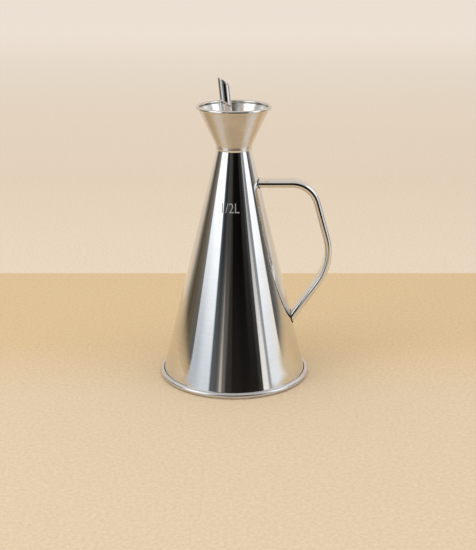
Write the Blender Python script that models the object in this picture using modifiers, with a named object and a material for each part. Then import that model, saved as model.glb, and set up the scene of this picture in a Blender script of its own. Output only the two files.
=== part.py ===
# Oil pourer: a stainless steel can with a conical body, a drip funnel round its spout
# and a flat-oval handle. The spout stands in a plug that seals in the neck. The plug is
# turned to aim the spout, and pulled up and out to fill the can through the funnel.
# Lengths are in metres and +Z is up. The origin is on the table, under the middle of
# the base. The handle is towards +X and the spout leans towards -X.

import math

import bmesh
import bpy
from mathutils import Vector

# Fits and cuts
clearance = 0.0003
cut_overrun = 0.006
weld_distance = 0.00001

# Facets of the round pieces, and of the arcs in their outlines
body_steps = 72
neck_steps = 48
spout_steps = 32
hole_steps = 20
bead_sides = 8
seam_arc_steps = 9
foot_arc_steps = 2
rim_arc_steps = 12
ring_arc_steps = 2
bend_steps = 8
handle_end_steps = 6
weld_end_steps = 8
weld_side_steps = 5

# Body cone, a sheet with a flange turned out at its foot
body_sheet = 0.0005
body_foot_radius = 0.0499
body_top_height = 0.1595
neck_radius = 0.01175
flange_width = 0.0014

# Base plate, its rim folded round the flange of the body
base_sheet = 0.0006
base_recess = 0.0008
foot_width = 0.0016
seam_lip = 0.00123
seam_wall = 0.0009

# Ring at the joint of the body and the funnel
neck_ring_height = 0.0011
neck_ring_stand = 0.0006
neck_ring_round = 0.0003

# Funnel, with a collar over the ring and a sleeve down inside the neck
funnel_sheet = 0.0005
collar_stand = 0.00035
collar_height = 0.0021
sleeve_overhang = 0.0031
funnel_height = 0.0247
rim_radius = 0.0253
rim_bead_radius = 0.0012

# Handle, a flat-oval bar bent at a corner above and a knee below. Both reaches are
# from the side of the body, and the knee's share is of the way up from foot to top.
handle_width = 0.013
handle_thickness = 0.0047
handle_top_drop = 0.0229
handle_foot_height = 0.0412
handle_corner_reach = 0.0355
handle_corner_radius = 0.0182
handle_knee_reach = 0.0376
handle_knee_share = 0.42
handle_knee_radius = 0.038
handle_weld_radius = 0.00045

# Plug of the spout, a flanged cup with a seal round it
plug_sheet = 0.0005
plug_lip_height = 0.0008
plug_lip_stand = 0.00056
seal_wall = 0.001
seal_height = 0.0075
seal_groove_depth = 0.0004
seal_rib_count = 3
drip_hole_count = 3
drip_hole_radius = 0.0016
drip_hole_margin = 0.00084
drip_hole_spread = math.radians(50)

# Spout, a leaning tube with a slanted mouth
spout_radius = 0.00375
spout_wall = 0.0005
spout_lean = math.radians(6)
spout_side_gap = 0.00227
spout_tail = 0.0015
spout_rise = 0.0188
spout_mouth_slope = math.radians(36)
spout_weld_radius = 0.0005

# Heights of the seam at the foot, from the table up
panel_top = base_recess + base_sheet
flange_bottom = panel_top + clearance
flange_top = flange_bottom + body_sheet
slot_top = flange_top + clearance
bead_top = slot_top + seam_lip

# Radii of the seam, from the body out
seam_mouth_radius = body_foot_radius + clearance
flange_radius = body_foot_radius + flange_width
slot_radius = flange_radius + clearance
base_radius = slot_radius + seam_wall

# Slope of the body, and its sheet measured level
body_slope = (body_foot_radius - neck_radius) / (body_top_height - flange_top)
body_level_sheet = body_sheet * math.hypot(1, body_slope)

# Neck, from the body's top edge to the seat of the plug
sleeve_radius = neck_radius - body_level_sheet - clearance
sleeve_bore = sleeve_radius - funnel_sheet
ring_bottom = body_top_height + clearance
ring_top = ring_bottom + neck_ring_height
collar_bottom = ring_top + clearance
collar_top = collar_bottom + collar_height
collar_radius = neck_radius + collar_stand
collar_bore = collar_radius - funnel_sheet
seat_height = collar_bottom + funnel_sheet
rim_height = collar_top + funnel_height

# Plug and seal, with heights measured from the seat
flange_underside = clearance
flange_upside = flange_underside + plug_sheet
plug_flange_radius = collar_bore - clearance
seal_radius = sleeve_bore - clearance
seal_bore = seal_radius - seal_wall
cup_radius = seal_bore - clearance
cup_bore = cup_radius - plug_sheet
seal_top = flange_underside - clearance
seal_bottom = seal_top - seal_height
lip_top = seal_bottom - clearance
lip_bottom = lip_top - plug_lip_height
cup_floor = lip_bottom + plug_sheet

# Spout, with heights measured from the seat and its offset at the seat's height
spout_level_radius = spout_radius / math.cos(spout_lean)
spout_offset = cup_bore - spout_level_radius - spout_side_gap
spout_tip = rim_height + rim_bead_radius + spout_rise - seat_height

steel_colour = (0.80, 0.79, 0.77, 1.0)
satin_colour = (0.60, 0.60, 0.62, 1.0)
seal_colour = (0.72, 0.72, 0.70, 1.0)


def body_radius(height):
    return body_foot_radius - body_slope * (height - flange_top)


def give_material(obj, colour, roughness, metallic):
    material = bpy.data.materials.new(obj.name)
    material.use_nodes = True
    shader = material.node_tree.nodes["Principled BSDF"]
    shader.inputs["Base Color"].default_value = colour
    shader.inputs["Roughness"].default_value = roughness
    shader.inputs["Metallic"].default_value = metallic
    obj.data.materials.append(material)


def place(obj, collection, parent=None):
    for other in list(obj.users_collection):
        other.objects.unlink(obj)
    collection.objects.link(obj)
    obj.parent = parent


def mark_as_cutter(obj):
    place(obj, cutters)
    obj.hide_render = True
    obj.display_type = "WIRE"


def cut(obj, cutter):
    boolean = obj.modifiers.new("Cut by " + cutter.name, "BOOLEAN")
    boolean.operation = "DIFFERENCE"
    boolean.solver = "EXACT"
    boolean.object = cutter


def arc(centre, radius, start, end, steps):
    """Points on an arc, its two ends among them, in radius and height."""
    points = []
    for step in range(steps + 1):
        angle = start + (end - start) * step / steps
        points.append((centre[0] + radius * math.cos(angle), centre[1] + radius * math.sin(angle)))
    return points


def turned(name, profile, steps, collection, parent=None):
    """A profile in radius and height, turned about Z. It runs down the outer side.
    A profile whose ends are on the axis is left open there, and any other is closed."""
    count = len(profile)
    edges = [(index, index + 1) for index in range(count - 1)]
    if profile[0][0] > 0:
        edges.append((count - 1, 0))
    mesh = bpy.data.meshes.new(name)
    mesh.from_pydata([(radius, 0, height) for radius, height in profile], edges, [])
    obj = bpy.data.objects.new(name, mesh)
    place(obj, collection, parent)
    screw = obj.modifiers.new("Turn", "SCREW")
    screw.steps = steps
    screw.render_steps = steps
    screw.use_merge_vertices = True
    screw.merge_threshold = weld_distance
    screw.use_smooth_shade = True
    return obj


def make_body_cone():
    """The sheet cone, open at the neck and at the foot, with the flange at its foot."""
    foot_inner_radius = body_radius(flange_bottom) - body_level_sheet
    profile = [
        (neck_radius, body_top_height),
        (body_foot_radius, flange_top),
        (flange_radius, flange_top),
        (flange_radius, flange_bottom),
        (foot_inner_radius, flange_bottom),
        (neck_radius - body_level_sheet, body_top_height),
    ]
    obj = turned("body_cone", profile, body_steps, pieces)
    give_material(obj, steel_colour, 0.06, 1)


def make_base_plate():
    """The flat panel, raised off the table, with a rim rolled round the flange."""
    half_foot = foot_width / 2
    bead_radius = (bead_top ** 2 + half_foot ** 2) / (2 * bead_top)
    centre = (base_radius - bead_radius, bead_top - bead_radius)
    mouth = math.acos((seam_mouth_radius - centre[0]) / bead_radius)
    foot = math.asin(centre[1] / bead_radius)
    panel = math.asin((centre[1] - base_recess) / bead_radius)
    profile = [(0, panel_top), (slot_radius, panel_top), (slot_radius, slot_top)]
    profile.append((seam_mouth_radius, slot_top))
    profile.extend(arc(centre, bead_radius, mouth, -foot, seam_arc_steps))
    profile.extend(arc(centre, bead_radius, math.pi + foot, math.pi + panel, foot_arc_steps))
    profile.append((0, base_recess))
    obj = turned("base_plate", profile, body_steps, pieces)
    give_material(obj, satin_colour, 0.3, 1)


def make_neck_ring():
    """The ring that closes the joint between the body's top edge and the collar."""
    inner = sleeve_radius + clearance
    outer = neck_radius + neck_ring_stand
    upper = (outer - neck_ring_round, ring_top - neck_ring_round)
    lower = (outer - neck_ring_round, ring_bottom + neck_ring_round)
    profile = [(inner, ring_top)]
    profile.extend(arc(upper, neck_ring_round, math.pi / 2, 0, ring_arc_steps))
    profile.extend(arc(lower, neck_ring_round, 0, -math.pi / 2, ring_arc_steps))
    profile.append((inner, ring_bottom))
    obj = turned("neck_ring", profile, neck_steps, pieces)
    give_material(obj, steel_colour, 0.12, 1)


def make_funnel():
    """The drip funnel, with a rolled rim, a seat for the plug and a sleeve in the neck."""
    rim_centre = Vector((rim_radius - rim_bead_radius, rim_height))
    up_wall = (rim_centre - Vector((collar_radius, collar_top))).normalized()
    inward = Vector((-up_wall.y, up_wall.x))
    inner_reach = math.sqrt(rim_bead_radius ** 2 - funnel_sheet ** 2)
    to_inner = inward * funnel_sheet - up_wall * inner_reach
    inner_angle = math.atan2(to_inner.y, to_inner.x) % math.tau
    outer_angle = math.atan2(-up_wall.y, -up_wall.x)
    inner_collar_top = collar_top + funnel_sheet * math.tan(up_wall.angle(Vector((0, 1))) / 2)
    sleeve_bottom = seat_height + lip_bottom - sleeve_overhang
    profile = arc(rim_centre, rim_bead_radius, inner_angle, outer_angle, rim_arc_steps)
    profile.extend([
        (collar_radius, collar_top),
        (collar_radius, collar_bottom),
        (sleeve_radius, collar_bottom),
        (sleeve_radius, sleeve_bottom),
        (sleeve_bore, sleeve_bottom),
        (sleeve_bore, seat_height),
        (collar_bore, seat_height),
        (collar_bore, inner_collar_top),
    ])
    obj = turned("funnel", profile, body_steps, pieces)
    give_material(obj, steel_colour, 0.08, 1)


def stadium(width, thickness, end_steps, side_steps):
    """Outline of a flat oval, as offsets across its width and across its thickness."""
    radius = thickness / 2
    reach = width / 2 - radius
    points = []
    for sign in (1, -1):
        middle = (sign * reach, 0)
        points.extend(arc(middle, radius, -sign * math.pi / 2, math.pi - sign * math.pi / 2, end_steps))
        for step in range(1, side_steps):
            points.append((sign * reach * (1 - 2 * step / side_steps), sign * radius))
    return points


def bend(before, corner, after, radius, steps):
    """Points of the bend that rounds a corner between two straight runs."""
    to_before = (before - corner).normalized()
    to_after = (after - corner).normalized()
    half_angle = to_before.angle(to_after) / 2
    reach = radius / math.tan(half_angle)
    centre = corner + (to_before + to_after).normalized() * radius / math.sin(half_angle)
    start = (corner + to_before * reach - centre).normalized()
    end = (corner + to_after * reach - centre).normalized()
    return [centre + start.slerp(end, step / steps) * radius for step in range(steps + 1)]


def poly_curve(name, points, cyclic):
    curve = bpy.data.curves.new(name, "CURVE")
    curve.dimensions = "3D"
    spline = curve.splines.new("POLY")
    spline.points.add(len(points) - 1)
    for point, place_on_curve in zip(spline.points, points):
        point.co = (*place_on_curve, 1)
    spline.use_cyclic_u = cyclic
    return curve


def handle_route():
    """Corners of the handle's middle line, from the neck down to the foot."""
    top_height = body_top_height - handle_top_drop
    knee_height = handle_foot_height + handle_knee_share * (top_height - handle_foot_height)
    top = Vector((body_radius(top_height), 0, top_height))
    corner = Vector((top.x + handle_corner_reach, 0, top_height))
    knee = Vector((body_radius(knee_height) + handle_knee_reach, 0, knee_height))
    foot = Vector((body_radius(handle_foot_height), 0, handle_foot_height))
    return top, corner, knee, foot


def make_handle():
    """The bent bar, coped at both ends to the cone of the body."""
    top, corner, knee, foot = handle_route()
    points = [top + (top - corner).normalized() * cut_overrun]
    points.extend(bend(top, corner, knee, handle_corner_radius, bend_steps))
    points.extend(bend(corner, knee, foot, handle_knee_radius, bend_steps))
    points.append(foot + (foot - knee).normalized() * cut_overrun)
    section = stadium(handle_width, handle_thickness, handle_end_steps, 1)
    outline = [(across, through, 0) for across, through in section]
    guide = bpy.data.objects.new("handle_section", poly_curve("handle_section", outline, True))
    guide.data.dimensions = "2D"
    mark_as_cutter(guide)
    route = poly_curve("handle_route", points, False)
    route.bevel_mode = "OBJECT"
    route.bevel_object = guide
    route.use_fill_caps = True
    curve_object = bpy.data.objects.new("handle_route", route)
    place(curve_object, pieces)
    bpy.context.view_layer.update()
    evaluated = curve_object.evaluated_get(bpy.context.evaluated_depsgraph_get())
    mesh = bpy.data.meshes.new_from_object(evaluated)
    welded = bmesh.new()
    welded.from_mesh(mesh)
    bmesh.ops.remove_doubles(welded, verts=welded.verts, dist=weld_distance)
    bmesh.ops.recalc_face_normals(welded, faces=welded.faces)
    welded.to_mesh(mesh)
    welded.free()
    mesh.shade_smooth()
    obj = bpy.data.objects.new("handle", mesh)
    obj.matrix_world = curve_object.matrix_world
    place(obj, pieces)
    bpy.data.objects.remove(curve_object)
    bpy.data.objects.remove(guide)
    cut(obj, make_body_cutter())
    give_material(obj, steel_colour, 0.08, 1)


def make_body_cutter():
    """The body's cone, filled, and larger all round by the clearance."""
    level_gap = clearance * math.hypot(1, body_slope)
    height = body_top_height - flange_top
    bpy.ops.mesh.primitive_cone_add(
        vertices=body_steps,
        radius1=body_foot_radius + level_gap,
        radius2=neck_radius + level_gap,
        depth=height,
        location=(0, 0, flange_top + height / 2),
    )
    cutter = bpy.context.object
    cutter.name = "body_cutter"
    mark_as_cutter(cutter)
    return cutter


def meet_body(start, direction, level_gap):
    """The point where a line from outside comes within a level gap of the body's cone."""
    reach = body_radius(start.z) + level_gap
    square = direction.x ** 2 + direction.y ** 2 - (body_slope * direction.z) ** 2
    linear = start.x * direction.x + start.y * direction.y + reach * body_slope * direction.z
    constant = start.x ** 2 + start.y ** 2 - reach ** 2
    distance = (-linear - math.sqrt(linear ** 2 - square * constant)) / square
    return start + direction * distance


def make_handle_weld(name, outer_end, end):
    """The bead round one end of the handle, where it meets the body."""
    direction = (end - outer_end).normalized()
    side = Vector((0, 1, 0))
    across = side.cross(direction)
    standoff = clearance + handle_weld_radius
    level_gap = standoff * math.hypot(1, body_slope)
    width = handle_width + 2 * standoff
    thickness = handle_thickness + 2 * standoff
    outline = stadium(width, thickness, weld_end_steps, weld_side_steps)
    start = end - direction * width
    loop = [meet_body(start + side * u + across * v, direction, level_gap) for u, v in outline]
    curve = poly_curve(name, loop, True)
    curve.bevel_depth = handle_weld_radius
    curve.bevel_resolution = bead_sides // 2 - 2
    obj = bpy.data.objects.new(name, curve)
    place(obj, pieces)
    give_material(obj, steel_colour, 0.2, 1)


def make_plug_seal(parent):
    """The soft ring round the plug, with ribs that press on the sleeve's bore."""
    groove_radius = seal_radius - seal_groove_depth
    pitch = seal_height / (2 * seal_rib_count - 1)
    profile = [(seal_bore, seal_top)]
    for rib in range(seal_rib_count):
        rib_top = seal_top - 2 * rib * pitch
        if rib > 0:
            profile.append((groove_radius, rib_top))
        profile.append((seal_radius, rib_top))
        profile.append((seal_radius, rib_top - pitch))
        if rib < seal_rib_count - 1:
            profile.append((groove_radius, rib_top - pitch))
    profile.append((seal_bore, seal_bottom))
    obj = turned("plug_seal", profile, neck_steps, pieces, parent)
    give_material(obj, seal_colour, 0.5, 0)


def spout_axis_offset(height):
    """How far the spout's axis is from the Z axis, at a height above the seat."""
    return -spout_offset - math.tan(spout_lean) * height


def make_tube_cutter(parent):
    """The hole for the spout in the cup's floor, in line with the spout."""
    depth = cut_overrun + plug_sheet
    bpy.ops.mesh.primitive_cylinder_add(
        vertices=spout_steps,
        radius=spout_radius + clearance,
        depth=depth,
        location=(spout_axis_offset(cup_floor), 0, cup_floor),
        rotation=(0, -spout_lean, 0),
    )
    cutter = bpy.context.object
    cutter.name = "tube_cutter"
    mark_as_cutter(cutter)
    cutter.parent = parent
    return cutter


def make_drip_cutter(number, angle, parent):
    """One of the holes that let drips run back into the can and air come in."""
    circle_radius = cup_bore - drip_hole_margin - drip_hole_radius
    depth = cut_overrun + plug_sheet
    bpy.ops.mesh.primitive_cylinder_add(
        vertices=hole_steps,
        radius=drip_hole_radius,
        depth=depth,
        location=(circle_radius * math.cos(angle), circle_radius * math.sin(angle), cup_floor),
    )
    cutter = bpy.context.object
    cutter.name = "drip_cutter_" + str(number)
    mark_as_cutter(cutter)
    cutter.parent = parent
    return cutter


def make_spout_plug(parent):
    """The pressed cup that carries the spout, with a flange above and a lip below."""
    lip_radius = seal_bore + plug_lip_stand
    profile = [
        (0, cup_floor),
        (cup_bore, cup_floor),
        (cup_bore, flange_upside),
        (plug_flange_radius, flange_upside),
        (plug_flange_radius, flange_underside),
        (cup_radius, flange_underside),
        (cup_radius, lip_top),
        (lip_radius, lip_top),
        (lip_radius, lip_bottom),
        (0, lip_bottom),
    ]
    obj = turned("spout_plug", profile, neck_steps, pieces, parent)
    cut(obj, make_tube_cutter(parent))
    for number in range(drip_hole_count):
        turns_from_middle = number - (drip_hole_count - 1) / 2
        cut(obj, make_drip_cutter(number + 1, turns_from_middle * drip_hole_spread, parent))
    give_material(obj, steel_colour, 0.12, 1)


def make_mouth_cutter(parent):
    """The block above the slanted mouth. Its lower face is the plane of the mouth."""
    size = 2 * (2 * spout_radius + cut_overrun)
    tip = Vector((spout_axis_offset(spout_tip) - spout_level_radius, 0, spout_tip))
    upward = Vector((math.sin(spout_mouth_slope), 0, math.cos(spout_mouth_slope)))
    bpy.ops.mesh.primitive_cube_add(
        size=size,
        location=tip + upward * size / 2,
        rotation=(0, spout_mouth_slope, 0),
    )
    cutter = bpy.context.object
    cutter.name = "mouth_cutter"
    mark_as_cutter(cutter)
    cutter.parent = parent
    return cutter


def make_spout_tube(parent):
    """The pouring tube, from under the cup's floor up to its slanted mouth."""
    below = (lip_bottom - spout_tail) / math.cos(spout_lean)
    above = (spout_tip + cut_overrun) / math.cos(spout_lean)
    bore = spout_radius - spout_wall
    profile = [(bore, above), (spout_radius, above), (spout_radius, below), (bore, below)]
    obj = turned("spout_tube", profile, spout_steps, pieces, parent)
    obj.location = (-spout_offset, 0, 0)
    obj.rotation_euler = (0, -spout_lean, 0)
    cut(obj, make_mouth_cutter(parent))
    give_material(obj, steel_colour, 0.05, 1)


def make_spout_weld(parent):
    """The bead that joins the tube to the cup's floor."""
    height = cup_floor + clearance + spout_weld_radius
    ring_radius = spout_level_radius + clearance + spout_weld_radius
    bpy.ops.mesh.primitive_torus_add(
        major_segments=spout_steps,
        minor_segments=bead_sides,
        major_radius=ring_radius,
        minor_radius=spout_weld_radius,
        location=(spout_axis_offset(height), 0, height),
    )
    obj = bpy.context.object
    obj.name = "spout_weld"
    obj.data.shade_smooth()
    place(obj, pieces, parent)
    give_material(obj, steel_colour, 0.2, 1)


for old_object in list(bpy.data.objects):
    bpy.data.objects.remove(old_object, do_unlink=True)

pieces = bpy.data.collections.new("oil_pourer")
cutters = bpy.data.collections.new("cutters")
bpy.context.scene.collection.children.link(pieces)
bpy.context.scene.collection.children.link(cutters)

# The axis of the neck carries the plug, the seal and the spout
neck_axis = bpy.data.objects.new("neck_axis", None)
neck_axis.location = (0, 0, seat_height)
place(neck_axis, pieces)

make_body_cone()
make_base_plate()
make_neck_ring()
make_funnel()
make_handle()
handle_top, handle_corner, handle_knee, handle_foot = handle_route()
make_handle_weld("upper_handle_weld", handle_corner, handle_top)
make_handle_weld("lower_handle_weld", handle_knee, handle_foot)
make_plug_seal(neck_axis)
make_spout_plug(neck_axis)
make_spout_tube(neck_axis)
make_spout_weld(neck_axis)
bpy.context.view_layer.update()
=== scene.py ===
import math

import bmesh
import bpy
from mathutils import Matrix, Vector


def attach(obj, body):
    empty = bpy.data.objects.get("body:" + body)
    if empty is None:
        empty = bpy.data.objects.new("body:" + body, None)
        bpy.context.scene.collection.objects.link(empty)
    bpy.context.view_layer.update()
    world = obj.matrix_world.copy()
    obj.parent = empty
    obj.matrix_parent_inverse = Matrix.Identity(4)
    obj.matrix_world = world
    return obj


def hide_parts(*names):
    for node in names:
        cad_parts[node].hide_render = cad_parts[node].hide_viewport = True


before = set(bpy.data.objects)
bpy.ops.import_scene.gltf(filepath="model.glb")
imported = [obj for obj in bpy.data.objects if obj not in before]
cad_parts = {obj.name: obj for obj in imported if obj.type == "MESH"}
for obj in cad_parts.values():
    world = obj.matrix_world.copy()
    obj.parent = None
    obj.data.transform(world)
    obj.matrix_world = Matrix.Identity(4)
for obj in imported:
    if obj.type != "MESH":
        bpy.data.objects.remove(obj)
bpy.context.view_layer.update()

# The oil pourer dressed for its picture. Sizes in the dictionaries are in millimetres
# and degrees; Blender's own units are metres.
mm = 0.001
mergeDistance = 0.001 * mm
print("frame loaded with", len(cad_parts), "nodes")


# Helpers for working in edit mode the way one would by hand

def deselectAll():
    bpy.ops.object.select_all(action="DESELECT")


def takeUp(obj):
    # the only selected object, and the active one
    deselectAll()
    obj.select_set(True)
    bpy.context.view_layer.objects.active = obj


def settled():
    # the active object, once its place, turn and size are written into its mesh
    bpy.ops.object.transform_apply(location=True, rotation=True, scale=True)
    return bpy.context.object


def openMesh():
    bpy.ops.object.mode_set(mode="EDIT")
    bpy.ops.mesh.select_mode(type="VERT")


def closeMesh():
    bpy.ops.mesh.select_all(action="SELECT")
    bpy.ops.mesh.remove_doubles(threshold=mergeDistance)
    bpy.ops.mesh.normals_make_consistent(inside=False)
    bpy.ops.object.mode_set(mode="OBJECT")


def cleanMesh():
    openMesh()
    closeMesh()


def pickOpenEdges():
    bpy.ops.mesh.select_all(action="DESELECT")
    bpy.ops.mesh.select_non_manifold()


def pick(kind, test):
    # selects the edges or faces that pass the test, in edit mode
    bpy.ops.mesh.select_all(action="DESELECT")
    bpy.ops.mesh.select_mode(type=kind)
    mesh = bmesh.from_edit_mesh(bpy.context.object.data)
    for item in {"EDGE": mesh.edges, "FACE": mesh.faces}[kind]:
        if test(item):
            item.select_set(True)
    mesh.select_flush_mode()
    bmesh.update_edit_mesh(bpy.context.object.data)


def deleteFaces(test):
    openMesh()
    pick("FACE", test)
    bpy.ops.mesh.delete(type="FACE")
    bpy.ops.object.mode_set(mode="OBJECT")


def middleOf(item):
    return sum((vert.co for vert in item.verts), Vector()) / len(item.verts)


def smoothBy(obj, degrees):
    takeUp(obj)
    bpy.ops.object.shade_smooth_by_angle(angle=math.radians(degrees))


def cutAway(obj, cutter, operation="DIFFERENCE"):
    takeUp(obj)
    boolean = obj.modifiers.new("cut", "BOOLEAN")
    boolean.operation = operation
    boolean.solver = "EXACT"
    boolean.object = cutter
    bpy.ops.object.modifier_apply(modifier=boolean.name)
    bpy.data.objects.remove(cutter)


# Helpers for outlines, which are lists of (radius, height)

def arcPoints(middle, radius, start, end, steps):
    points = []
    for step in range(steps + 1):
        angle = math.radians(start + (end - start) * step / steps)
        points.append((middle[0] + radius * math.cos(angle), middle[1] + radius * math.sin(angle)))
    return points


def roundedProfile(corners, steps=5):
    # corners are (radius, height, rounding)
    points = []
    for index, (radius, height, rounding) in enumerate(corners):
        here = Vector((radius, height))
        if rounding == 0:
            points.append((radius, height))
            continue
        back = (Vector(corners[index - 1][:2]) - here).normalized()
        ahead = (Vector(corners[(index + 1) % len(corners)][:2]) - here).normalized()
        half = back.angle(ahead) / 2
        middle = here + (back + ahead).normalized() * rounding / math.sin(half)
        start = (here + back * rounding / math.tan(half) - middle).normalized()
        end = (here + ahead * rounding / math.tan(half) - middle).normalized()
        for step in range(steps + 1):
            points.append(tuple(middle + start.slerp(end, step / steps) * rounding))
    return points


def held(profile, gap=0.2, longRun=2):
    # a ring close to each end of a long run keeps the shading of the run straight
    points = [profile[0]]
    for before, after in zip(profile, profile[1:]):
        run = Vector(after) - Vector(before)
        if run.length > longRun:
            step = run.normalized() * gap
            points += [tuple(Vector(before) + step), tuple(Vector(after) - step)]
        points.append(after)
    return points


def turnRings(name, profile, steps, closed=True, sharp=35):
    # a circle, extruded ring by ring along the profile
    deselectAll()
    radius, height = profile[0]
    bpy.ops.mesh.primitive_circle_add(vertices=steps, radius=radius * mm, location=(0, 0, height * mm))
    obj = settled()
    obj.name = name
    openMesh()
    bpy.ops.mesh.select_all(action="SELECT")
    for nextRadius, nextHeight in profile[1:]:
        rise = (0, 0, (nextHeight - height) * mm)
        bpy.ops.mesh.extrude_region_move(TRANSFORM_OT_translate={"value": rise})
        if nextRadius == 0:
            bpy.ops.mesh.merge(type="CENTER")
            break
        share = nextRadius / radius
        bpy.ops.transform.resize(value=(share, share, 1), center_override=(0, 0, nextHeight * mm))
        radius, height = nextRadius, nextHeight
    if closed:
        pickOpenEdges()
        bpy.ops.mesh.bridge_edge_loops()
    closeMesh()
    smoothBy(obj, sharp)
    return obj


def dress(obj, material, body, slotName, *nodes):
    obj.data.materials.clear()
    obj.data.materials.append(material)
    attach(obj, body)
    if nodes:
        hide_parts(*nodes)


# Helpers for materials

def fillIn(tree, node, inputs):
    # a socket is linked, and anything else becomes the input's own value
    for key, value in inputs.items():
        if isinstance(value, bpy.types.NodeSocket):
            tree.links.new(value, node.inputs[key])
        else:
            node.inputs[key].default_value = value


def addNode(tree, kind, inputs=None, **settings):
    node = tree.nodes.new(kind)
    for key, value in settings.items():
        setattr(node, key, value)
    fillIn(tree, node, inputs or {})
    return node


def newMaterial(name):
    material = bpy.data.materials.new(name)
    material.use_nodes = True
    tree = material.node_tree
    return material, tree, tree.nodes["Principled BSDF"]


def noiseOn(tree, spot, grain, fourth=None):
    # grain is (scale, detail, roughness), and with a fourth coordinate the noise is 4D
    inputs = dict(zip(("Scale", "Detail", "Roughness"), grain), Vector=spot)
    settings = {}
    if fourth is not None:
        inputs["W"], settings["noise_dimensions"] = fourth, "4D"
    return addNode(tree, "ShaderNodeTexNoise", inputs, **settings).outputs["Fac"]


def mathOf(tree, operation, first, second):
    return addNode(tree, "ShaderNodeMath", {0: first, 1: second}, operation=operation).outputs[0]


def ranged(tree, value, fromEnds, toEnds=(0.0, 1.0)):
    inputs = {"Value": value, "From Min": fromEnds[0], "From Max": fromEnds[1]}
    inputs.update({"To Min": toEnds[0], "To Max": toEnds[1]})
    return addNode(tree, "ShaderNodeMapRange", inputs).outputs[0]


def blended(tree, factor, first, second, **settings):
    # two colours, each a socket or three numbers
    inputs = {"Factor": factor}
    for key, colour in (("A", first), ("B", second)):
        inputs[key] = colour if isinstance(colour, bpy.types.NodeSocket) else (*colour, 1)
    return addNode(tree, "ShaderNodeMix", inputs, data_type="RGBA", **settings).outputs["Result"]


def bumped(tree, height, depth, under=None):
    inputs = {"Height": height, "Strength": 1.0, "Distance": depth * mm}
    if under is not None:
        inputs["Normal"] = under
    return addNode(tree, "ShaderNodeBump", inputs).outputs[0]


# Steels

turnedLook = {
    "polished": {
        "light": (0.80, 0.795, 0.785), "dark": (0.74, 0.735, 0.72), "smooth": 0.035, "rough": 0.08,
        "stretch": 0.6, "lineDepth": 0.0006, "bandDepth": 0.006, "lineCount": 2600, "waviness": 0.02,
    },
    "funnel": {
        # the funnel's tones are tinted warm towards tan, a painted reflection of the table; the noise
        # between light and dark is the steel's own tone
        "light": (0.85, 0.785, 0.71), "dark": (0.76, 0.70, 0.63), "smooth": 0.34, "rough": 0.40,
        "stretch": 0.9, "lineDepth": 0.0012, "bandDepth": 0.002, "lineCount": 2200, "waviness": 0.008,
    },
    "inside": {
        "light": (0.74, 0.72, 0.69), "dark": (0.67, 0.65, 0.62), "smooth": 0.13, "rough": 0.21,
        "stretch": 0.8, "lineDepth": 0.0015, "bandDepth": 0.003, "lineCount": 2200, "waviness": 0.01,
    },
    "satin": {
        "light": (0.76, 0.76, 0.78), "dark": (0.64, 0.64, 0.66), "smooth": 0.24, "rough": 0.36,
        "stretch": 0.2, "lineDepth": 0.006, "bandDepth": 0.004, "lineCount": 1800, "waviness": 0.01,
    },
    "pressed": {
        "light": (0.77, 0.76, 0.74), "dark": (0.66, 0.65, 0.63), "smooth": 0.16, "rough": 0.30,
        "stretch": 0.5, "lineDepth": 0.006, "bandDepth": 0.006, "lineCount": 1500, "waviness": 0.03,
    },
}
# noises as (scale per metre, detail, roughness), and the stretches of them that are spread
# over the tones and over the roughness
lineGrain = (1.0, 3.0, 0.6)
toneEnds, roughEnds = (0.12, 0.38), (0.12, 0.40)
turnedGrain = {
    "clouds": (70.0, 4.0, 0.55), "waves": (28.0, 1.0, 0.5), "bands": (1.0, 2.0, 0.6),
    "bandStretch": (1.6, 1.6, 0.2), "stretchTurn": 0.25,
}


def turnedSteel(name, look):
    # polishing lines run round the axis, on walls and on flats alike
    material, tree, shader = newMaterial(name)
    grain = turnedGrain
    spot = addNode(tree, "ShaderNodeTexCoord").outputs["Object"]
    split = addNode(tree, "ShaderNodeSeparateXYZ", {0: spot})
    level = addNode(tree, "ShaderNodeCombineXYZ", {0: split.outputs[0], 1: split.outputs[1]}).outputs[0]
    side = addNode(tree, "ShaderNodeVectorMath", {0: level}, operation="NORMALIZE")
    reach = addNode(tree, "ShaderNodeVectorMath", {0: level}, operation="LENGTH")
    sideSplit = addNode(tree, "ShaderNodeSeparateXYZ", {0: side.outputs[0]})
    tall = mathOf(tree, "MULTIPLY", split.outputs[2], look["lineCount"])
    wide = mathOf(tree, "MULTIPLY", reach.outputs["Value"], look["lineCount"])
    lineInputs = {0: sideSplit.outputs[0], 1: sideSplit.outputs[1], 2: tall}
    lineSpot = addNode(tree, "ShaderNodeCombineXYZ", lineInputs).outputs[0]
    lines = noiseOn(tree, lineSpot, lineGrain, wide)
    blend = mathOf(tree, "MULTIPLY", lines, noiseOn(tree, spot, grain["clouds"]))
    waveBump = bumped(tree, noiseOn(tree, spot, grain["waves"]), look["waviness"])
    # now and then a coarser mark of the polishing wheel
    bandInputs = {0: lineSpot, 1: grain["bandStretch"]}
    bandSpot = addNode(tree, "ShaderNodeVectorMath", bandInputs, operation="MULTIPLY").outputs[0]
    bandBump = bumped(tree, noiseOn(tree, bandSpot, grain["bands"]), look["bandDepth"], waveBump)
    around = addNode(tree, "ShaderNodeTangent", direction_type="RADIAL", axis="Z")
    fillIn(tree, shader, {
        "Metallic": 1.0, "Tangent": around.outputs[0],
        "Anisotropic": look["stretch"], "Anisotropic Rotation": grain["stretchTurn"],
        "Base Color": blended(tree, ranged(tree, blend, toneEnds), look["dark"], look["light"]),
        "Roughness": ranged(tree, blend, roughEnds, (look["rough"], look["smooth"])),
        "Normal": bumped(tree, lines, look["lineDepth"], bandBump),
    })
    return material


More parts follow.
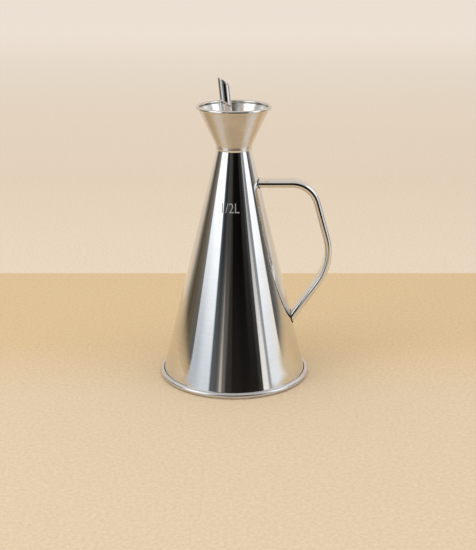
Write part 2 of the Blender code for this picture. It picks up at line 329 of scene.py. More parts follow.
runLook = {
    "handle": {
        "light": (0.80, 0.79, 0.775), "dark": (0.72, 0.71, 0.695), "smooth": 0.04, "rough": 0.10,
        "lineDepth": 0.0015, "stretch": (60, 2600, 60),
    },
    "spout": {
        "light": (0.82, 0.815, 0.81), "dark": (0.74, 0.735, 0.73), "smooth": 0.02, "rough": 0.06,
        "lineDepth": 0.001, "stretch": (2200, 2200, 60),
    },
}
runClouds = (120.0, 4.0, 0.5)


def runSteel(name, look):
    # polishing lines run along a bar or a tube
    material, tree, shader = newMaterial(name)
    spot = addNode(tree, "ShaderNodeTexCoord").outputs["Object"]
    mapping = addNode(tree, "ShaderNodeMapping", {"Vector": spot, "Scale": look["stretch"]})
    lines = noiseOn(tree, mapping.outputs[0], lineGrain)
    blend = mathOf(tree, "MULTIPLY", lines, noiseOn(tree, spot, runClouds))
    fillIn(tree, shader, {
        "Metallic": 1.0,
        "Base Color": blended(tree, ranged(tree, blend, toneEnds), look["dark"], look["light"]),
        "Roughness": ranged(tree, blend, roughEnds, (look["rough"], look["smooth"])),
        "Normal": bumped(tree, lines, look["lineDepth"]),
    })
    return material


weldLook = {
    # both weld tones are near black: partly heat tint, partly painted shade where the parts join
    "bright": (0.22, 0.21, 0.20), "heatTintAndShade": (0.05, 0.045, 0.04),
    "patches": (260.0, 3.0, 0.5), "patchEnds": (0.40, 0.52),
    "smooth": 0.16, "rough": 0.34, "rippleDepth": 0.03,
    "ripples": (1500.0, 2.0, 0.5), "rippleEnds": (0.3, 0.7),
}


def weldSteel(name):
    # a bead ground back and polished, with a trace of its ripple; its tone is near black, partly heat tint
    # and partly painted shade where the parts join
    look = weldLook
    material, tree, shader = newMaterial(name)
    spot = addNode(tree, "ShaderNodeTexCoord").outputs["Object"]
    ripple = noiseOn(tree, spot, look["ripples"])
    tintAndShade = ranged(tree, noiseOn(tree, spot, look["patches"]), look["patchEnds"])
    fillIn(tree, shader, {
        "Metallic": 1.0,
        "Base Color": blended(tree, tintAndShade, look["bright"], look["heatTintAndShade"]),
        "Roughness": ranged(tree, ripple, look["rippleEnds"], (look["smooth"], look["rough"])),
        "Normal": bumped(tree, ripple, look["rippleDepth"]),
    })
    return material


bodySteel = turnedSteel("body steel, polished round", turnedLook["polished"])
# the funnel's outer steel carries a painted warm reflection of the table in its colour
funnelSteel = turnedSteel("funnel steel, fine satin", turnedLook["funnel"])
insideSteel = turnedSteel("funnel steel, bright rim and inside", turnedLook["inside"])
footSteel = turnedSteel("foot steel, satin", turnedLook["satin"])
plugSteel = turnedSteel("plug steel, as pressed", turnedLook["pressed"])
handleSteel = runSteel("handle steel, polished along", runLook["handle"])
spoutSteel = runSteel("spout steel, mirror", runLook["spout"])
weldMetal = weldSteel("weld steel, polished back")
print("steels mixed")


# Body: a sheet cone with a flange turned out at its foot

bodyCone = {
    "neckRadius": 11.75, "neckHeight": 159.5, "top": 159.62, "topRounding": 0.08,
    "footRadius": 49.9, "footRounding": 0.25, "innerRounding": 0.3, "wall": 0.5145,
    "flangeTop": 2.2, "flangeBottom": 1.7, "flangeRadius": 51.3, "flangeRounding": 0.1, "steps": 256,
}


def bodyRadius(height):
    share = (height - bodyCone["flangeTop"]) / (bodyCone["neckHeight"] - bodyCone["flangeTop"])
    return bodyCone["footRadius"] + share * (bodyCone["neckRadius"] - bodyCone["footRadius"])


def makeBodyCone():
    size = bodyCone
    profile = roundedProfile([
        (bodyRadius(size["top"]), size["top"], size["topRounding"]),
        (size["footRadius"], size["flangeTop"], size["footRounding"]),
        (size["flangeRadius"], size["flangeTop"], size["flangeRounding"]),
        (size["flangeRadius"], size["flangeBottom"], size["flangeRounding"]),
        (bodyRadius(size["flangeBottom"]) - size["wall"], size["flangeBottom"], size["innerRounding"]),
        (bodyRadius(size["top"]) - size["wall"], size["top"], size["topRounding"]),
    ])
    obj = turnRings("bodyCone", held(profile), size["steps"])
    dress(obj, bodySteel, "can", "polished_steel", "body_cone")


makeBodyCone()
print("body turned")


# Foot: a flat panel with its rim rolled round the body's flange

foot = {
    "panelTop": 1.4, "panelBottom": 0.8, "panelRing": 20, "panelShare": 0.4,
    "slotRadius": 51.6, "slotTop": 2.5, "mouthRadius": 49.9,
    "bead": (50.53, 1.78), "beadRadius": 1.95, "beadStart": 108.0, "beadSteps": 36,
    "flatAngle": 65.9, "panelAngle": 30.2, "panelSteps": 8, "sharp": 35, "steps": 256,
}


def makeFoot():
    size = foot
    bead, radius = size["bead"], size["beadRadius"]
    profile = [
        (size["slotRadius"], size["panelTop"]),
        (size["slotRadius"], size["slotTop"]),
        (size["mouthRadius"], size["slotTop"]),
    ]
    profile += arcPoints(bead, radius, size["beadStart"], -size["flatAngle"], size["beadSteps"])
    innerEnds = (180 + size["flatAngle"], 180 + size["panelAngle"])
    profile += arcPoints(bead, radius, *innerEnds, size["panelSteps"])
    profile += [(size["panelRing"], size["panelBottom"]), (0, size["panelBottom"])]
    obj = turnRings("footRim", held(profile), size["steps"], closed=False)
    openMesh()
    pickOpenEdges()
    bpy.ops.mesh.extrude_region_move()
    share, middle = size["panelShare"], (0, 0, size["panelTop"] * mm)
    bpy.ops.transform.resize(value=(share, share, 1), center_override=middle)
    bpy.ops.mesh.extrude_region_move()
    bpy.ops.mesh.merge(type="CENTER")
    closeMesh()
    smoothBy(obj, size["sharp"])
    dress(obj, footSteel, "can", "satin_steel", "base_plate")


makeFoot()
print("foot rolled")


# Neck ring and funnel

neckRing = {
    "inner": 11.24, "outer": 12.35, "foot": 11.95, "bottom": 159.6, "top": 161.1,
    "rounding": 0.22, "roundSteps": 10, "steps": 160,
}


def makeNeckRing():
    size = neckRing
    profile = roundedProfile([
        (size["inner"], size["top"], 0),
        (size["outer"], size["top"], size["rounding"]),
        (size["foot"], size["bottom"], size["rounding"]),
        (size["inner"], size["bottom"], 0),
    ], size["roundSteps"])
    obj = turnRings("neckRing", profile, size["steps"])
    dress(obj, bodySteel, "can", "weld_steel", "neck_ring")


funnel = {
    "bead": (24.1, 188.0), "beadRadius": 1.2, "beadSteps": 36, "flare": 1.2, "flareSteps": 8,
    "collarTop": (12.1, 162.5), "collarBottom": 161.1, "collarRounding": 0.9,
    "wall": 0.5, "seat": 161.7, "throatRounding": 1.0, "edgeRounding": 0.15, "roundSteps": 6,
    "sleeveOuter": 10.936, "sleeveInner": 10.436, "sleeveBottom": 150.0, "brightOver": 0.1, "steps": 256,
}


def makeFunnel():
    size = funnel
    bead = Vector(size["bead"])
    up = (bead - Vector(size["collarTop"])).normalized()
    inward = Vector((-up.y, up.x))
    flare, wall, beadRadius, edge = size["flare"], size["wall"], size["beadRadius"], size["edgeRounding"]
    # the wall's inner face runs into the bead through a flare
    drop = math.sqrt((beadRadius + flare) ** 2 - (wall + flare) ** 2)
    flareMiddle = bead - up * drop + inward * (wall + flare)
    toWall = math.degrees(math.atan2(-inward.y, -inward.x))
    toBead = math.degrees(math.atan2(bead.y - flareMiddle.y, bead.x - flareMiddle.x))
    toFoot = math.degrees(math.atan2(-up.y, -up.x))
    collarRadius, collarTop = size["collarTop"]
    bore = collarRadius - wall
    innerTop = collarTop + wall * math.tan(up.angle(Vector((0, 1))) / 2)
    profile = roundedProfile([
        (*(bead - up * beadRadius), 0),
        (collarRadius, collarTop, size["collarRounding"]),
        (collarRadius, size["collarBottom"], edge),
        (size["sleeveOuter"], size["collarBottom"], 0),
        (size["sleeveOuter"], size["sleeveBottom"], edge),
        (size["sleeveInner"], size["sleeveBottom"], edge),
        (size["sleeveInner"], size["seat"], edge),
        (bore, size["seat"], edge),
        (bore, innerTop, size["throatRounding"]),
        (*(flareMiddle - inward * flare), 0),
    ], size["roundSteps"])
    profile += arcPoints(flareMiddle, flare, toWall, toBead, size["flareSteps"])[1:]
    profile += arcPoints(bead, beadRadius, toBead + 180, toFoot, size["beadSteps"])[1:-1]
    obj = turnRings("funnelBowl", held(profile), size["steps"])
    dress(obj, funnelSteel, "can", "polished_steel", "funnel")

    # the rim and the inside are brighter than the wall outside
    brightFrom = (bead.y - beadRadius + size["brightOver"]) * mm

    def isBright(face):
        middle = middleOf(face)
        return face.normal.xy.dot(middle.xy) < 0 or middle.z > brightFrom

    obj.data.materials.append(insideSteel)
    openMesh()
    pick("FACE", isBright)
    obj.active_material_index = 1
    bpy.ops.object.material_slot_assign()
    bpy.ops.object.mode_set(mode="OBJECT")


makeNeckRing()
makeFunnel()
print("funnel and neck ring turned")


# Handle: a flat-oval bar, bent at a corner and at a knee, and coped to the body

handle = {
    "width": 13.0, "thickness": 4.7, "edge": 2.345, "edgeShape": 0.5, "edgeSteps": 24,
    "start": 14.5, "top": 136.6, "corner": (52.8, 136.6), "cornerRadius": 18.2, "cornerSteps": 32,
    "knee": (68.25, 81.3), "kneeRadius": 38.0, "kneeSteps": 28, "runSteps": 6,
    "foot": (40.4, 41.2), "past": 4.5, "sink": 0.15, "coneEnds": (20.0, 150.0), "coneSteps": 360,
    "sharp": 40,
}


def extrudeAlong(direction, length, steps):
    for step in range(steps):
        move = direction * length / steps * mm
        bpy.ops.mesh.extrude_region_move(TRANSFORM_OT_translate={"value": (move.x, 0, move.y)})


def bendBar(cornerPoint, before, cut, radius, turn, steps):
    # turns the selected end about a level axis, clockwise as seen from the front
    middle = cornerPoint - before * cut + Vector((before.y, -before.x)) * radius
    centre = (middle.x * mm, 0, middle.y * mm)
    bpy.ops.mesh.spin(steps=steps, angle=-turn, center=centre, axis=(0, 1, 0))


def makeHandle():
    size = handle
    corner, knee, end = Vector(size["corner"]), Vector(size["knee"]), Vector(size["foot"])
    start = Vector((size["start"], size["top"]))
    runs = [(corner - start).normalized(), (knee - corner).normalized(), (end - knee).normalized()]
    cornerTurn, kneeTurn = runs[0].angle(runs[1]), runs[1].angle(runs[2])
    cornerCut = size["cornerRadius"] * math.tan(cornerTurn / 2)
    kneeCut = size["kneeRadius"] * math.tan(kneeTurn / 2)
    deselectAll()
    place = (start.x * mm, 0, start.y * mm)
    bpy.ops.mesh.primitive_plane_add(size=1, location=place, rotation=(0, math.pi / 2, 0))
    bpy.context.object.scale = (size["thickness"] * mm, size["width"] * mm, 1)
    bar = settled()
    bar.name = "handleBar"
    openMesh()
    bpy.ops.mesh.select_all(action="SELECT")
    bpy.ops.mesh.bevel(offset=size["edge"] * mm, offset_type="OFFSET", segments=size["edgeSteps"],
                       profile=size["edgeShape"], affect="VERTICES")
    bpy.ops.mesh.select_all(action="SELECT")
    extrudeAlong(runs[0], (corner - start).length - cornerCut, size["runSteps"])
    bendBar(corner, runs[0], cornerCut, size["cornerRadius"], cornerTurn, size["cornerSteps"])
    extrudeAlong(runs[1], (knee - corner).length - cornerCut - kneeCut, size["runSteps"])
    bendBar(knee, runs[1], kneeCut, size["kneeRadius"], kneeTurn, size["kneeSteps"])
    extrudeAlong(runs[2], (end - knee).length - kneeCut + size["past"], size["runSteps"])
    closeMesh()

    low, high = size["coneEnds"]
    deselectAll()
    bpy.ops.mesh.primitive_cone_add(
        vertices=size["coneSteps"], depth=(high - low) * mm, location=(0, 0, (high + low) / 2 * mm),
        radius1=(bodyRadius(low) - size["sink"]) * mm, radius2=(bodyRadius(high) - size["sink"]) * mm)
    cutAway(bar, settled())
    upperWeld = makeWeld(bar, "upperHandleWeld", False)
    lowerWeld = makeWeld(bar, "lowerHandleWeld", True)
    smoothBy(bar, size["sharp"])
    dress(bar, handleSteel, "can", "polished_steel", "handle")
    dress(upperWeld, weldMetal, "can", "weld_steel", "upper_handle_weld")
    dress(lowerWeld, weldMetal, "can", "weld_steel", "lower_handle_weld")


# A bead round each end of the handle. The lower end is the one under the height lowerUnder.
weldBead = {
    "radius": 0.7, "roundSteps": 5, "lowerUnder": 90.0, "near": 0.03, "merge": 0.25,
    "soften": 0.3, "softenTimes": 2, "sharp": 80,
}


def onBody(vert):
    reach = math.hypot(vert.co.x, vert.co.y) / mm
    return abs(reach - bodyRadius(vert.co.z / mm) + handle["sink"]) < weldBead["near"]


def makeWeld(bar, name, below):
    # the outline of the coped end, taken off the bar and given thickness
    size = weldBead

    def isEnd(face):
        isBelow = middleOf(face).z < size["lowerUnder"] * mm
        return isBelow == below and all(onBody(vert) for vert in face.verts)

    takeUp(bar)
    bpy.ops.object.duplicate()
    bpy.context.object.name = name
    openMesh()
    pick("FACE", isEnd)
    bpy.ops.mesh.region_to_loop()
    bpy.ops.mesh.select_all(action="INVERT")
    bpy.ops.mesh.delete(type="EDGE")
    bpy.ops.mesh.select_all(action="SELECT")
    bpy.ops.mesh.remove_doubles(threshold=size["merge"] * mm)
    bpy.ops.mesh.vertices_smooth(factor=size["soften"], repeat=size["softenTimes"])
    bpy.ops.object.mode_set(mode="OBJECT")
    bpy.ops.object.convert(target="CURVE")
    curve = bpy.context.object.data
    curve.bevel_depth = size["radius"] * mm
    curve.bevel_resolution = size["roundSteps"]
    bpy.ops.object.convert(target="MESH")
    bead = bpy.context.object
    cleanMesh()
    smoothBy(bead, size["sharp"])
    return bead


makeHandle()
print("handle bent, coped and welded")


# Spout: a leaning tube with a slanted mouth

spout = {
    "radius": 3.75, "bore": 3.25, "lean": 6.0, "seat": 161.7, "offset": -2.30, "bottom": 151.2,
    "tip": 208.0, "tipX": -10.93, "spare": 4.0, "mouthSlope": 36.0, "mouthNear": 0.01,
    "edge": 0.09, "edgeSteps": 2, "sharp": 15, "steps": 96,
}


def spoutAxisX(height):
    return spout["offset"] - math.tan(math.radians(spout["lean"])) * (height - spout["seat"])


def makeSpoutTube():
    size = spout
    lean, slope = math.radians(size["lean"]), math.radians(size["mouthSlope"])
    length = (size["tip"] - size["bottom"]) / math.cos(lean) + size["spare"]
    rings = [(size["radius"], 0), (size["radius"], length), (size["bore"], length), (size["bore"], 0)]
    tube = turnRings("spoutTube", rings, size["steps"])
    tube.rotation_euler = (0, -lean, 0)
    tube.location = (spoutAxisX(size["bottom"]) * mm, 0, size["bottom"] * mm)
    settled()
    facing = Vector((math.sin(slope), 0, math.cos(slope)))
    edgePoint = Vector((size["tipX"] * mm, 0, size["tip"] * mm))

    def onMouthEdge(edge):
        near = all(abs((vert.co - edgePoint).dot(facing)) < size["mouthNear"] * mm for vert in edge.verts)
        return near and len({round(face.normal.dot(facing), 2) for face in edge.link_faces}) > 1

    openMesh()
    bpy.ops.mesh.select_all(action="SELECT")
    bpy.ops.mesh.bisect(plane_co=edgePoint, plane_no=facing, clear_outer=True)
    pickOpenEdges()
    bpy.ops.mesh.bridge_edge_loops()
    pick("EDGE", onMouthEdge)
    bpy.ops.mesh.bevel(offset=size["edge"] * mm, offset_type="OFFSET",
                       segments=size["edgeSteps"], affect="EDGES")
    closeMesh()
    smoothBy(tube, size["sharp"])
    dress(tube, spoutSteel, "spout", "polished_steel", "spout_tube")


# Plug: a pressed cup that holds the spout, with three holes for drips and air

plug = {
    "flangeRadius": 11.3, "flangeTop": 162.5, "flangeBottom": 162.0, "flangeRounding": 0.2,
    "cupRadius": 8.836, "cupBore": 8.336, "cupRounding": (0.7, 0.6), "neckRounding": (0.15, 0.1),
    "lipRadius": 9.70, "lipTop": 153.9, "lipBottom": 153.1, "lipRounding": (0.15, 0.3), "roundSteps": 6,
    "floor": 153.6, "floorShare": 0.5, "holeRadius": 1.6, "holeReach": 5.9, "holeSpread": 50.0,
    "holeDepth": 4.0, "holeSteps": 40, "spoutHoleDepth": 8.0, "spoutFit": 0.02, "sharp": 35, "steps": 160,
}


def makeSpoutPlug():
    size = plug
    floorRing, floor = size["cupBore"] * size["floorShare"], size["floor"]
    profile = roundedProfile([
        (floorRing, floor, 0),
        (size["cupBore"], floor, size["cupRounding"][0]),
        (size["cupBore"], size["flangeTop"], size["cupRounding"][1]),
        (size["flangeRadius"], size["flangeTop"], size["flangeRounding"]),
        (size["flangeRadius"], size["flangeBottom"], size["flangeRounding"]),
        (size["cupRadius"], size["flangeBottom"], size["neckRounding"][0]),
        (size["cupRadius"], size["lipTop"], size["neckRounding"][1]),
        (size["lipRadius"], size["lipTop"], size["lipRounding"][0]),
        (size["lipRadius"], size["lipBottom"], size["lipRounding"][1]),
        (floorRing, size["lipBottom"], 0),
    ], size["roundSteps"])
    profile = held(profile + [(0, size["lipBottom"])])
    obj = turnRings("spoutPlug", profile, size["steps"], closed=False)
    openMesh()
    pickOpenEdges()
    bpy.ops.mesh.extrude_region_move()
    bpy.ops.mesh.merge(type="CENTER")
    closeMesh()
    for step in (-1, 0, 1):
        angle = math.radians(size["holeSpread"] * step)
        x, y = size["holeReach"] * math.cos(angle), size["holeReach"] * math.sin(angle)
        deselectAll()
        bpy.ops.mesh.primitive_cylinder_add(
            vertices=size["holeSteps"], radius=size["holeRadius"] * mm, depth=size["holeDepth"] * mm,
            location=(x * mm, y * mm, floor * mm))
        cutAway(obj, bpy.context.object)
    deselectAll()
    bpy.ops.mesh.primitive_cylinder_add(
        vertices=spout["steps"], radius=(spout["radius"] - size["spoutFit"]) * mm,
        depth=size["spoutHoleDepth"] * mm, location=(spoutAxisX(floor) * mm, 0, floor * mm),
        rotation=(0, -math.radians(spout["lean"]), 0))
    cutAway(obj, bpy.context.object)
    cleanMesh()
    smoothBy(obj, size["sharp"])
    dress(obj, plugSteel, "spout", "pressed_steel", "spout_plug")


spoutWeld = {"leg": 0.75, "inTube": 0.12, "inFloor": 0.05, "arcSteps": 8, "sharp": 50, "steps": 96}


def makeSpoutWeld():
    # a concave fillet between the tube and the floor of the cup
    size = spoutWeld
    leg, top = size["leg"], plug["floor"] + size["leg"]
    inner, outer = spout["radius"] - size["inTube"], spout["radius"] + leg
    base = plug["floor"] - size["inFloor"]
    arc = arcPoints((outer, top), leg, 270, 180, size["arcSteps"])
    profile = [(inner, base), (outer, base), *arc, (inner, top)]
    ring = turnRings("spoutWeld", profile, size["steps"], sharp=size["sharp"])
    ring.location = (spoutAxisX(plug["floor"]) * mm, 0, 0)
    dress(settled(), weldMetal, "spout", "weld_steel", "spout_weld")


# Seal: a sleeve of silicone with three round ribs

seal = {
    "bore": 9.136, "groove": 9.72, "rib": 10.136, "bottom": 154.2, "top": 161.7, "ribs": 3,
    "sharp": 50, "steps": 128,
    # how far along the rib, and how far out of the groove
    "ribShape": ((0.02, 0), (0.16, 0), (0.22, 0.3), (0.32, 0.8), (0.42, 0.97), (0.5, 1),
                 (0.58, 0.97), (0.68, 0.8), (0.78, 0.3), (0.84, 0), (0.98, 0)),
}
sealLook = {
    "dark": (0.60, 0.60, 0.57), "light": (0.80, 0.80, 0.78), "rough": (0.42, 0.62),
    "haze": (220.0, 5.0, 0.6), "hazeEnds": (0.3, 0.7), "bump": 0.01,
    "glow": 0.4, "glowDepths": (2.0, 2.0, 1.8),
}


def sealRubber(name):
    look = sealLook
    material, tree, shader = newMaterial(name)
    spot = addNode(tree, "ShaderNodeTexCoord").outputs["Object"]
    haze = noiseOn(tree, spot, look["haze"])
    fillIn(tree, shader, {
        "Base Color": blended(tree, haze, look["dark"], look["light"]),
        "Roughness": ranged(tree, haze, look["hazeEnds"], look["rough"]),
        "Normal": bumped(tree, haze, look["bump"]),
        "Subsurface Weight": look["glow"],
        "Subsurface Radius": [depth * mm for depth in look["glowDepths"]],
    })
    return material


def makeSeal():
    size = seal
    tall = (size["top"] - size["bottom"]) / size["ribs"]
    profile = [(size["bore"], size["bottom"])]
    for rib in range(size["ribs"]):
        low = size["bottom"] + rib * tall
        for share, out in size["ribShape"]:
            radius = size["groove"] + out * (size["rib"] - size["groove"])
            profile.append((radius, low + share * tall))
    profile += [(size["bore"], size["top"])]
    obj = turnRings("plugSeal", profile, size["steps"], sharp=size["sharp"])
    dress(obj, sealRubber("seal silicone"), "seal", "seal_silicone", "plug_seal")


makeSpoutTube()
makeSpoutPlug()
makeSpoutWeld()
makeSeal()
print("spout, plug and seal made")


# Capacity mark, etched on the front of the body

mark = {
    "words": "1/2L", "height": 6.4, "width": 11.6, "middle": (-2.1, 123.9), "depth": 24.0,
    "thin": -0.004, "extrude": 0.5, "curveSteps": 6,  # the font's own units
    "proud": 0.02, "sunk": 0.1, "skinReach": 8.0, "skinSteps": 512, "sharp": 30,
}
etchedLook = {
    "dark": (0.26, 0.27, 0.28), "light": (0.50, 0.51, 0.52), "metallic": 0.45, "rough": 0.55,
    "grain": (5200.0, 2.0, 0.5), "bump": 0.02,
}


def etchedSteel(name):
    look = etchedLook
    material, tree, shader = newMaterial(name)
    spot = addNode(tree, "ShaderNodeTexCoord").outputs["Object"]
    grain = noiseOn(tree, spot, look["grain"])
    fillIn(tree, shader, {
        "Metallic": look["metallic"], "Roughness": look["rough"],
        "Base Color": blended(tree, grain, look["dark"], look["light"]),
        "Normal": bumped(tree, grain, look["bump"]),
    })
    return material


def makeMark():
    # thick letters are set through the front, and a thin skin of the body is kept of them
    size = mark
    x, z = size["middle"]
    deselectAll()
    bpy.ops.object.text_add(location=(0, 0, 0))
    text = bpy.context.object.data
    text.body = size["words"]
    text.align_x = "CENTER"
    text.align_y = "CENTER"
    text.extrude = size["extrude"]
    text.offset = size["thin"]
    text.resolution_u = size["curveSteps"]
    bpy.ops.object.convert(target="MESH")
    words = bpy.context.object
    words.name = "capacityMark"
    low = Vector([min(corner[axis] for corner in words.bound_box) for axis in range(3)])
    high = Vector([max(corner[axis] for corner in words.bound_box) for axis in range(3)])
    wanted = Vector((size["width"], size["height"], size["depth"])) * mm
    share = [wanted[axis] / (high[axis] - low[axis]) for axis in range(3)]
    openMesh()
    bpy.ops.mesh.select_all(action="SELECT")
    bpy.ops.transform.translate(value=-(low + high) / 2)
    bpy.ops.transform.resize(value=share, center_override=(0, 0, 0))
    bpy.ops.object.mode_set(mode="OBJECT")
    words.rotation_euler = (math.pi / 2, 0, 0)
    words.location = (x * mm, -size["depth"] * mm, z * mm)
    settled()
    cleanMesh()
    low, high = z - size["skinReach"], z + size["skinReach"]
    outside, inside = size["proud"], -size["sunk"]
    skin = turnRings("markSkin", [
        (bodyRadius(low) + outside, low), (bodyRadius(high) + outside, high),
        (bodyRadius(high) + inside, high), (bodyRadius(low) + inside, low),
    ], size["skinSteps"])
    cutAway(words, skin, "INTERSECT")
    cleanMesh()
    smoothBy(words, size["sharp"])
    dress(words, etchedSteel("etched steel"), "can", "satin_steel")


makeMark()
print("mark etched")


# Floor, studio and light

# The table ends at the edge, and the floor past it has the tones of the wall.
floorLook = {
    "size": 16000.0, "height": -0.1, "edge": 226.0,
    # near is painted paler and cooler than far: a painted pool of light in front of the can, fading behind
    # it
    "near": (0.679, 0.543, 0.380), "far": (0.673, 0.497, 0.292), "paintedLightDepths": (-50.0, 50.0),
    # wallLow is painted darker near the table's edge and wallHigh paler further back: painted shade and
    # light on the wall
    "wallLow": (0.754, 0.631, 0.491), "wallHigh": (0.937, 0.844, 0.744), "wallLightDepths": (600.0, 2400.0),
    "speckle": (420.0, 5.0, 0.75), "speckleEnds": (0.3, 0.7), "speckleTones": (0.89, 1.11),
}


def makeFloor():
    look = floorLook
    deselectAll()
    bpy.ops.mesh.primitive_plane_add(size=look["size"] * mm, location=(0, 0, look["height"] * mm))
    floor = settled()
    floor.name = "floor"
    material, tree, shader = newMaterial("table and wall paper")
    spot = addNode(tree, "ShaderNodeTexCoord").outputs["Object"]
    depth = addNode(tree, "ShaderNodeSeparateXYZ", {0: spot}).outputs[1]
    paintedLightEnds = [end * mm for end in look["paintedLightDepths"]]
    wallLightEnds = [end * mm for end in look["wallLightDepths"]]
    # the table's tone, painted paler in front of the can as a painted pool of light
    table = blended(tree, ranged(tree, depth, paintedLightEnds), look["near"], look["far"])
    # the wall's tone, painted darker near the table and paler further back, as painted shade and light
    wall = blended(tree, ranged(tree, depth, wallLightEnds), look["wallLow"], look["wallHigh"])
    beyond = mathOf(tree, "GREATER_THAN", depth, look["edge"] * mm)
    plain = blended(tree, beyond, table, wall)
    speckle = noiseOn(tree, spot, look["speckle"])
    speckle = ranged(tree, speckle, look["speckleEnds"], look["speckleTones"])
    fillIn(tree, shader, {
        "Base Color": blended(tree, 1.0, plain, speckle, blend_type="MULTIPLY"),
        "Roughness": 1.0, "Specular IOR Level": 0.0,
    })
    floor.data.materials.append(material)


# Screens round the can, seen only in its reflections. Angles run from the front towards
# the handle. A shade is a grey and its warmth, which takes blueFall times as much from the
# blue as it adds to the red. Each screen starts at the angle given for the foot and for
# above, and has a shade at the foot, at the height of the can and higher. The ground has
# no faces where its share of the table is more than tableOnly.
studio = {
    "radius": 1300.0, "steps": 720, "first": -131, "last": 129,
    "rings": (0, 36, 100, 180, 240, 310, 370, 430, 480, 530, 580, 700, 950, 1120, 1300, 1600),
    "heights": (70, 330), "sideTops": (430, 580), "frontTops": (1000, 1450), "topsTurn": (50, 85),
    "ceiling": (0.72, 0.68, 0.64), "ceilingSteps": 64,
    "ground": (100, 140, 190, 255, 340, 430, 520, 610, 750, 900, 1300), "groundHeight": 0.4,
    "table": (0.70, 0.52, 0.31), "sides": {"left": (-72, 5), "right": (77, 9)}, "sheen": (45, 65),
    "tableEnd": {"front": (255, 430), "left": (200, 700), "right": (330, 1000)}, "endGap": 1,
    "tableOnly": 0.999, "blueFall": 1.25,
    "screens": [
        # foot, above, softness, shade at foot, shade at height, shade higher
        (-131, -131, 1.0, (0.60, 0.10), (0.66, 0.08), (1.15, 0.00)),
        (-124, -125, 3.0, (0.36, 0.15), (0.36, 0.12), (1.15, 0.00)),
        (-117, -118, 3.0, (0.17, 0.20), (0.18, 0.14), (1.10, 0.00)),
        (-109, -113, 3.0, (0.085, 0.30), (0.055, 0.25), (0.75, -0.02)),
        (-101, -104, 2.0, (0.11, 0.22), (0.15, 0.12), (0.60, -0.02)),
        (-90, -92, 2.0, (0.135, 0.18), (0.22, 0.08), (0.60, -0.02)),
        (-84, -84, 1.5, (0.13, 0.06), (0.34, 0.04), (1.60, -0.02)),
        (-76.5, -79.5, 0.8, (0.62, -0.07), (1.40, -0.03), (2.20, -0.04)),
        (-60, -60, 6.0, (0.84, -0.06), (1.40, -0.04), (2.20, -0.04)),
        (-39.5, -38.5, 1.5, (0.13, -0.06), (0.085, -0.12), (0.75, -0.03)),
        (-32, -33, 2.0, (0.11, 0.00), (0.035, -0.10), (0.55, 0.00)),
        (-27, -25, 1.0, (0.20, 0.10), (0.066, 0.05), (0.50, 0.00)),
        (-24, -21, 0.6, (0.56, 0.08), (0.066, 0.05), (0.45, 0.00)),
        (-20, -18, 0.8, (0.17, 0.10), (0.062, 0.06), (0.40, -0.02)),
        (-15, -8, 1.5, (0.035, 0.05), (0.031, 0.10), (0.28, -0.02)),
        (-4, -3, 1.0, (0.017, 0.15), (0.005, 0.10), (0.09, 0.00)),
        (10, 10, 4.0, (0.012, 0.12), (0.004, 0.08), (0.08, 0.00)),
        (27, 26, 2.0, (0.013, 0.10), (0.027, 0.03), (0.40, 0.00)),
        (40, 38, 1.5, (0.040, 0.10), (0.065, -0.03), (0.60, 0.00)),
        (46.5, 45.5, 0.7, (1.00, 0.02), (0.50, -0.02), (0.60, 0.00)),
        (56, 51.5, 0.7, (0.38, -0.02), (0.27, -0.02), (0.60, 0.00)),
        (61, 61, 0.8, (0.98, -0.04), (1.40, -0.04), (2.20, -0.04)),
        (76, 76, 8.0, (0.95, 0.05), (1.40, -0.03), (2.20, -0.04)),
        (88, 86.5, 1.0, (0.12, 0.02), (0.10, 0.00), (0.72, -0.02)),
        (97, 97, 2.0, (0.17, 0.12), (0.22, 0.09), (0.75, -0.02)),
        (106, 105, 2.0, (0.36, 0.12), (0.24, 0.12), (1.05, 0.00)),
        (117, 115, 2.0, (0.70, 0.09), (0.80, 0.08), (1.15, 0.00)),
    ],
}


def between(value, ends):
    return min(max((value - ends[0]) / (ends[1] - ends[0]), 0), 1)


def angleOf(spot):
    return math.degrees(math.atan2(spot.x, -spot.y))


def outOfRange(spot):
    return not studio["first"] <= angleOf(spot) <= studio["last"]


def shadeColour(shade):
    grey, warmth = shade
    return Vector((grey * (1 + warmth), grey, grey * (1 - studio["blueFall"] * warmth)))


def screenColour(angle, height):
    # shade of the screens seen at an angle from the front and a height over the table
    aside = between(abs(angle), studio["topsTurn"])
    climb = between(height, studio["heights"])
    tops = [front + (side - front) * aside for front, side in zip(studio["frontTops"], studio["sideTops"])]
    rise = between(height, tops)
    colour = Vector((0, 0, 0))
    for startFoot, startAbove, soft, *shades in studio["screens"]:
        start = startFoot + (startAbove - startFoot) * climb
        low, middle, high = [shadeColour(shade) for shade in shades]
        own = low.lerp(middle, climb).lerp(high, rise)
        colour = colour.lerp(own, between(angle, (start - soft, start + soft)))
    return colour


def tableShare(spot):
    # the ground past the table takes the shade of the screens, soon in front and little
    # by little at the sides, where the table also has a sheen
    angle, reach = angleOf(spot), spot.xy.length / mm
    near, far = studio["tableEnd"]["front"]
    side = "left" if angle < 0 else "right"
    first, fade = studio["sides"][side]
    aside = between(abs(angle), (abs(first), abs(first) + fade))
    aside *= 1 - between(reach, studio["tableEnd"][side])
    turned = between(abs(angle), studio["sheen"])
    start = near - studio["endGap"] - (near - studio["ground"][0]) * turned
    end = far - (far - near) * turned
    return max(aside, 1 - between(reach, (start, end)))


def glowMaterial(name):
    material = bpy.data.materials.new(name)
    material.use_nodes = True
    tree = material.node_tree
    tree.nodes.clear()
    glow = addNode(tree, "ShaderNodeEmission", {"Strength": 1.0})
    addNode(tree, "ShaderNodeOutputMaterial", {"Surface": glow.outputs[0]})
    return material, tree, glow


def showOnlyInGloss(obj):
    takeUp(obj)
    obj.visible_camera = False
    obj.visible_diffuse = False
    obj.visible_shadow = False
    obj.visible_transmission = False
    obj.visible_volume_scatter = False
    settled()


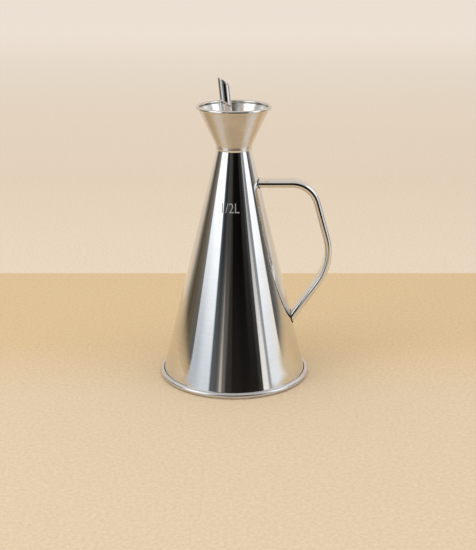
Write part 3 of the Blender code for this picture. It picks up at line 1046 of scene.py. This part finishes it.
def makeStudio():
    rings = [(studio["radius"], height) for height in studio["rings"]]
    screens = turnRings("studioScreens", rings, studio["steps"], closed=False)
    deleteFaces(lambda face: outOfRange(middleOf(face)))

    # the table itself is left to the floor
    rings = [(reach, studio["groundHeight"]) for reach in studio["ground"]]
    ground = turnRings("studioGround", rings, studio["steps"], closed=False)
    deleteFaces(lambda face: tableShare(middleOf(face)) > studio["tableOnly"] or outOfRange(middleOf(face)))

    material, tree, glow = glowMaterial("studio screens")
    seen = addNode(tree, "ShaderNodeAttribute", attribute_name="shades")
    fillIn(tree, glow, {"Color": seen.outputs["Color"]})
    for obj in (screens, ground):
        shades = obj.data.color_attributes.new("shades", "FLOAT_COLOR", "POINT")
        for vert in obj.data.vertices:
            shade = screenColour(angleOf(vert.co), vert.co.z / mm)
            if obj == ground:
                shade = shade.lerp(Vector(studio["table"]), tableShare(vert.co))
            shades.data[vert.index].color = (*shade, 1)
        obj.data.materials.append(material)
        showOnlyInGloss(obj)

    deselectAll()
    bpy.ops.mesh.primitive_circle_add(
        vertices=studio["ceilingSteps"], radius=studio["radius"] * mm, fill_type="NGON",
        location=(0, 0, studio["rings"][-1] * mm))
    ceiling = bpy.context.object
    ceiling.name = "studioCeiling"
    material, tree, glow = glowMaterial("studio ceiling")
    fillIn(tree, glow, {"Color": (*studio["ceiling"], 1)})
    ceiling.data.materials.append(material)
    showOnlyInGloss(ceiling)


worldLook = {"seen": (0.80, 0.69, 0.58), "light": (0.96, 0.95, 0.94), "strength": 0.92}


def makeWorld():
    look = worldLook
    world = bpy.data.worlds.new("studio")
    bpy.context.scene.world = world
    world.use_nodes = True
    tree = world.node_tree
    tree.nodes.clear()
    path = addNode(tree, "ShaderNodeLightPath").outputs
    seen = mathOf(tree, "MAXIMUM", path["Is Camera Ray"], path["Is Glossy Ray"])
    seen = mathOf(tree, "MAXIMUM", seen, path["Is Transmission Ray"])
    lightInputs = {"Color": (*look["light"], 1), "Strength": look["strength"]}
    light = addNode(tree, "ShaderNodeBackground", lightInputs)
    room = addNode(tree, "ShaderNodeBackground", {"Color": (*look["seen"], 1), "Strength": 1.0})
    mixed = addNode(tree, "ShaderNodeMixShader", {0: seen, 1: light.outputs[0], 2: room.outputs[0]})
    addNode(tree, "ShaderNodeOutputWorld", {"Surface": mixed.outputs[0]})


# Soft lamps: one above, and one on each side where the bright screens stand
lamps = [
    {"name": "overheadSoftbox", "size": 1400.0, "location": (-150, -350, 1500), "power": 4.3},
    {"name": "leftSoftbox", "size": 450.0, "location": (-700, -430, 560), "power": 1.3},
    {"name": "rightSoftbox", "size": 450.0, "location": (720, -330, 520), "power": 0.7},
]


def makeLamps():
    for look in lamps:
        deselectAll()
        bpy.ops.object.light_add(type="AREA", location=[value * mm for value in look["location"]])
        lamp = bpy.context.object
        lamp.name = look["name"]
        lamp.data.shape = "SQUARE"
        lamp.data.size = look["size"] * mm
        lamp.data.energy = look["power"]
        lamp.rotation_euler = Vector(look["location"]).to_track_quat("Z", "Y").to_euler()
        lamp.visible_camera = False
        lamp.visible_glossy = False


camera = {"location": (2.75, -728.7, 305.6), "tilt": 72.15, "lens": 72.0, "sensor": 36.0}


def makeCamera():
    data = bpy.data.cameras.new("photoCamera")
    data.lens = camera["lens"]
    data.sensor_width = camera["sensor"]
    view = bpy.data.objects.new("photoCamera", data)
    view.location = [value * mm for value in camera["location"]]
    view.rotation_euler = (math.radians(camera["tilt"]), 0, 0)
    bpy.context.scene.collection.objects.link(view)
    bpy.context.scene.camera = view


makeFloor()
makeStudio()
makeWorld()
makeLamps()
makeCamera()
bpy.context.scene.view_settings.view_transform = "Standard"
print("studio set")
